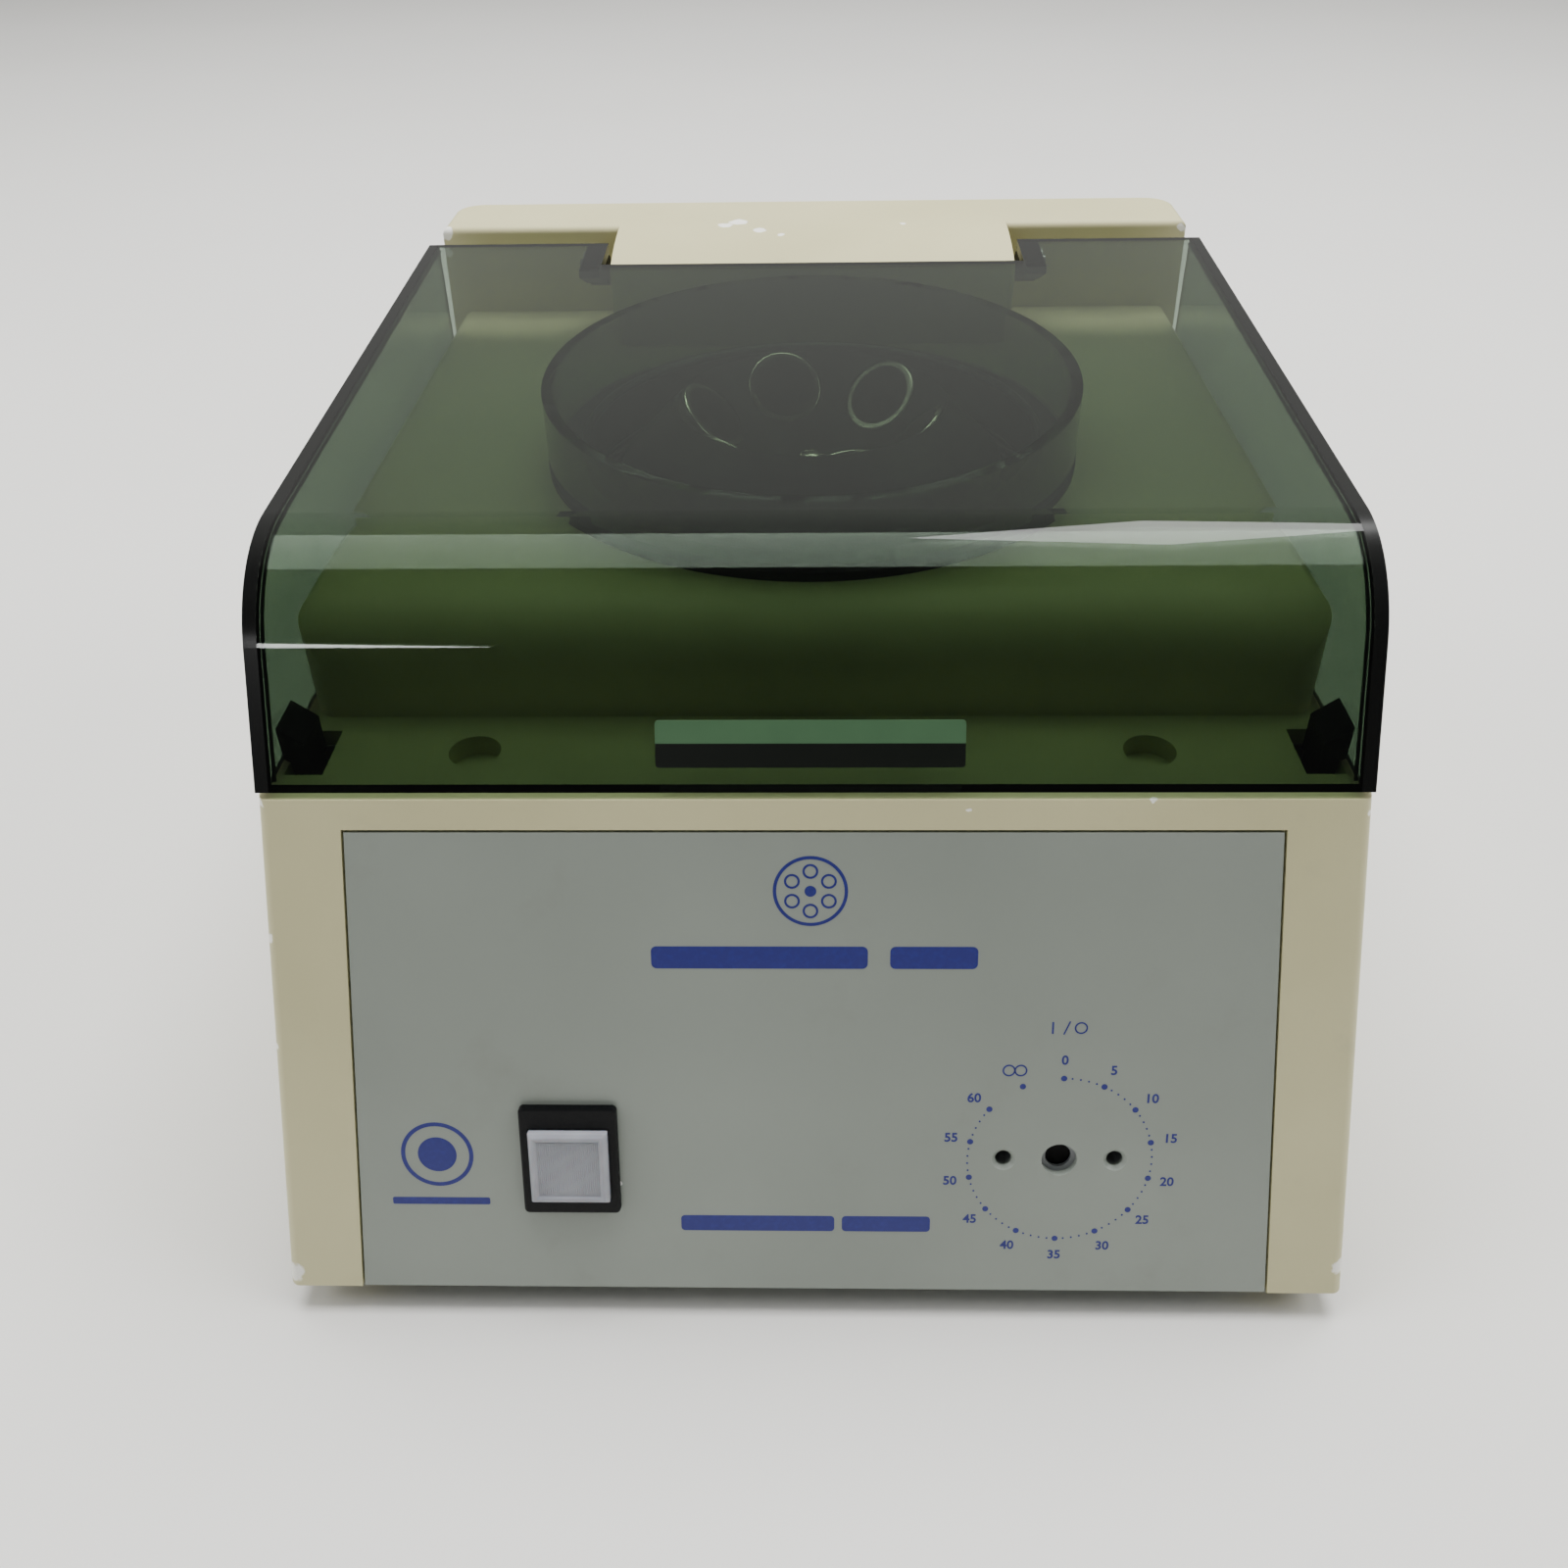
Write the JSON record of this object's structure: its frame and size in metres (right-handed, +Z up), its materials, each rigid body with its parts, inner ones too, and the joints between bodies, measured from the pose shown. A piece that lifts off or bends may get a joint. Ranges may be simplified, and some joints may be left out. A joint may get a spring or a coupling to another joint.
{
  "type": "bench centrifuge",
  "caption": "Small bench centrifuge with a tinted hinged lid, round guard ring, slanted angle head with tube shields, sloped front panel with timer dial.",
  "frame": {"origin": "middle of the overall footprint on the plane that the rubber feet stand on", "axes": "+Z up, front panel faces -Y, +X to the right seen from the front"},
  "size_m": [0.2558, 0.308, 0.1822],
  "materials": {
    "painted_foam": "beige textured paint on moulded structural foam",
    "panel_paint": "grey-blue semi-gloss paint on sheet aluminium",
    "zinc_steel": "zinc-plated sheet steel",
    "stainless": "spun stainless steel",
    "black_rubber": "moulded black rubber",
    "plated_screw": "bright zinc plate",
    "cast_aluminium": "die cast",
    "lamination_steel": "stacked electrical steel",
    "copper_winding": "enamelled copper wire, varnished",
    "ground_steel": "ground",
    "black_anodised": "black anodised",
    "nickel_plate": "bright nickel plate",
    "tinted_acrylic": "green-grey tinted cast acrylic",
    "label_film": "two-tone film",
    "black_nylon": "moulded black nylon",
    "white_lens": "moulded translucent lens",
    "phenolic": "moulded phenolic",
    "grey_plastic": "moulded plastic"
  },
  "bodies": {
    "base": {"housing": "painted_foam", "housing_deck": "painted_foam", "housing_hump": "painted_foam", "front_panel": "panel_paint", "base_plate": "zinc_steel", "rubber_feet": "black_rubber", "foot_screws": "plated_screw", "panel_screws": "plated_screw", "chamber_bowl": "stainless", "chamber_gasket": "black_rubber", "shaft_boot": "black_rubber", "motor_bracket": "zinc_steel", "bracket_screws": "plated_screw", "motor_isolators": "black_rubber", "isolator_screws": "plated_screw", "motor_upper_bell": "cast_aluminium", "motor_lower_bell": "cast_aluminium", "upper_bearing": "ground_steel", "lower_bearing": "ground_steel", "motor_stator": "lamination_steel", "motor_windings": "copper_winding", "hinge_rod": "ground_steel", "rod_clips": "zinc_steel", "latch_strikers": "zinc_steel", "switch_frame": "black_nylon", "switch_spring": "ground_steel", "timer_body": "grey_plastic", "power_inlet": "black_nylon", "inlet_pins": "nickel_plate", "inlet_screws": "plated_screw", "fuse_holder": "phenolic", "run_capacitor": "grey_plastic", "capacitor_clamp": "zinc_steel", "terminal_block": "phenolic"},
    "lid": {"lid_sheet": "tinted_acrylic", "lid_side_left": "tinted_acrylic", "lid_side_right": "tinted_acrylic", "guard_ring": "tinted_acrylic", "lid_label": "label_film", "hinge_lugs": "black_nylon", "latch_hook_left": "black_nylon", "latch_hook_right": "black_nylon"},
    "rotor": {"motor_rotor_core": "lamination_steel", "motor_shaft": "ground_steel", "cooling_fan": "black_nylon", "rotor_head": "black_anodised", "rotor_nut": "nickel_plate", "tube_cushions": "black_rubber", "tube_shield_1": "nickel_plate", "tube_shield_2": "nickel_plate", "tube_shield_3": "nickel_plate", "tube_shield_4": "nickel_plate", "tube_shield_5": "nickel_plate", "tube_shield_6": "nickel_plate"},
    "switch_button": {"switch_cap": "white_lens"},
    "timer_spindle": {"timer_shaft": "ground_steel"}
  },
  "joints": [
    {"name": "lid_hinge", "type": "hinge", "parent": "base", "child": "lid", "pos_m": [0, 0.10404, 0.1712], "axis": [-1, 0, 0], "range_deg": [0, 98]},
    {"name": "rotor_spin", "type": "hinge", "parent": "base", "child": "rotor", "pos_m": [0, 0.00505, 0.1262], "axis": [0, 0, 1], "continuous": true},
    {"name": "button_press", "type": "slide", "parent": "base", "child": "switch_button", "axis": [0, 0.9421, -0.3355], "range_m": [0, 0.002], "stiffness_N_per_m": 500, "deforming": ["switch_spring"]},
    {"name": "timer_spin", "type": "hinge", "parent": "base", "child": "timer_spindle", "pos_m": [0.0581, -0.14178, 0.04245], "axis": [0, 0.9421, -0.3355], "range_deg": [0, 334]}
  ]
}
